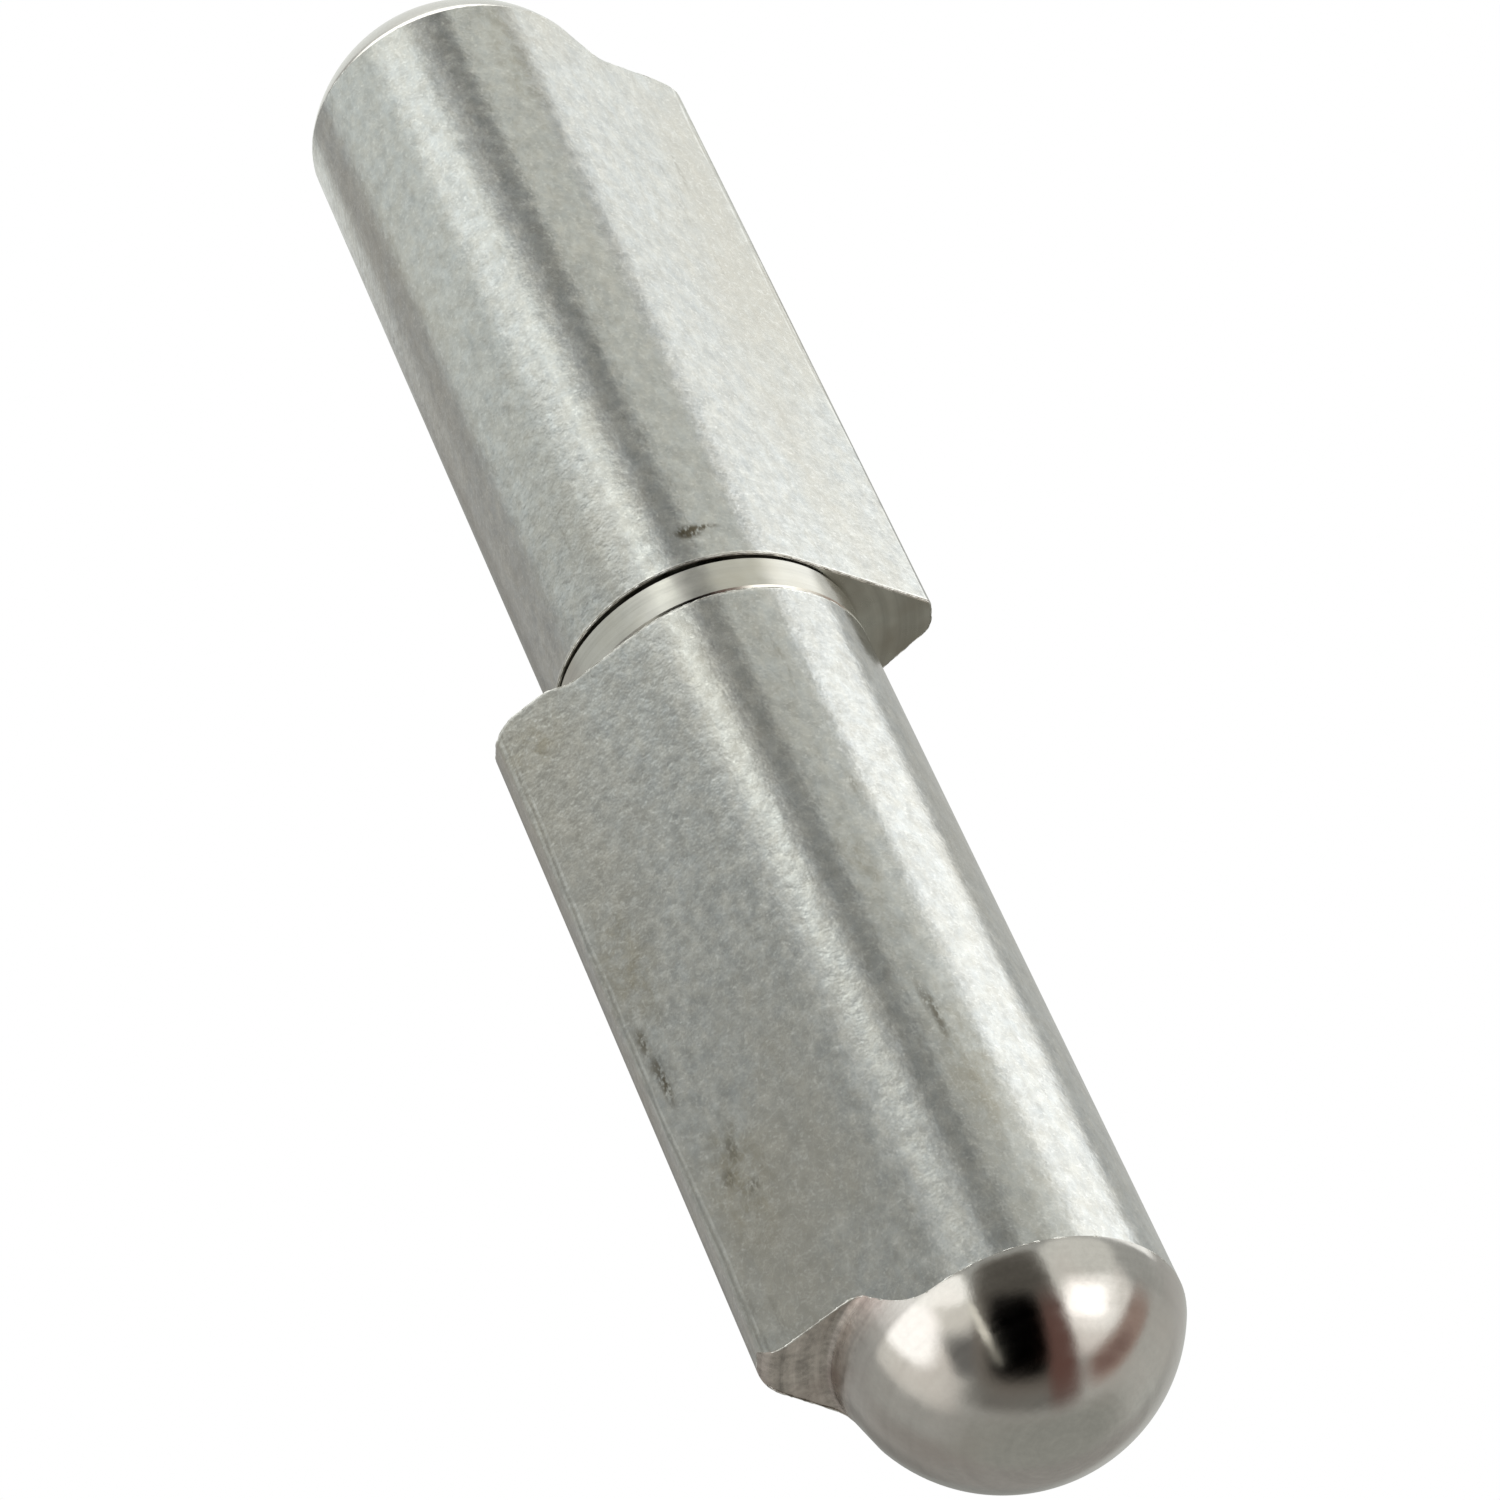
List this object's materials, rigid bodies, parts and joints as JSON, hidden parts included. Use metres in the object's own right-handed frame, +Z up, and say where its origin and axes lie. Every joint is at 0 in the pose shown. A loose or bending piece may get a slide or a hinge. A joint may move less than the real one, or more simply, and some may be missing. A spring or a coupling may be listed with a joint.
{
  "type": "weld on barrel hinge",
  "caption": "Lift-off weld-on hinge: two teardrop-section leaves with turned domed ends, a pressed pin and a thrust washer between them.",
  "frame": {"origin": "on the pin axis, halfway between the two joint faces", "axes": "+Z up the pin, from the lower leaf to the upper leaf; -X to the tip of the lower leaf's fin; the upper leaf's fin points to +X, turned 4.3 degrees towards -Y at rest"},
  "size_m": [0.0236, 0.0158, 0.1016],
  "materials": {
    "leaf_steel": "pickled matte drawn stainless, turned ends polished",
    "pin_steel": "ground bright steel",
    "washer_steel": "fine turned, slightly warm"
  },
  "bodies": {
    "lower": {"lower_leaf": "leaf_steel", "hinge_pin": "pin_steel"},
    "washer": {"washer": "washer_steel"},
    "upper": {"upper_leaf": "leaf_steel"}
  },
  "joints": [
    {"name": "leaf_swing", "type": "hinge", "parent": "lower", "child": "washer", "pos_m": [0, 0, 0], "axis": [0, 0, 1], "continuous": true},
    {"name": "leaf_lift", "type": "slide", "parent": "washer", "child": "upper", "axis": [0, 0, 1], "range_m": [0, 0.03]}
  ]
}
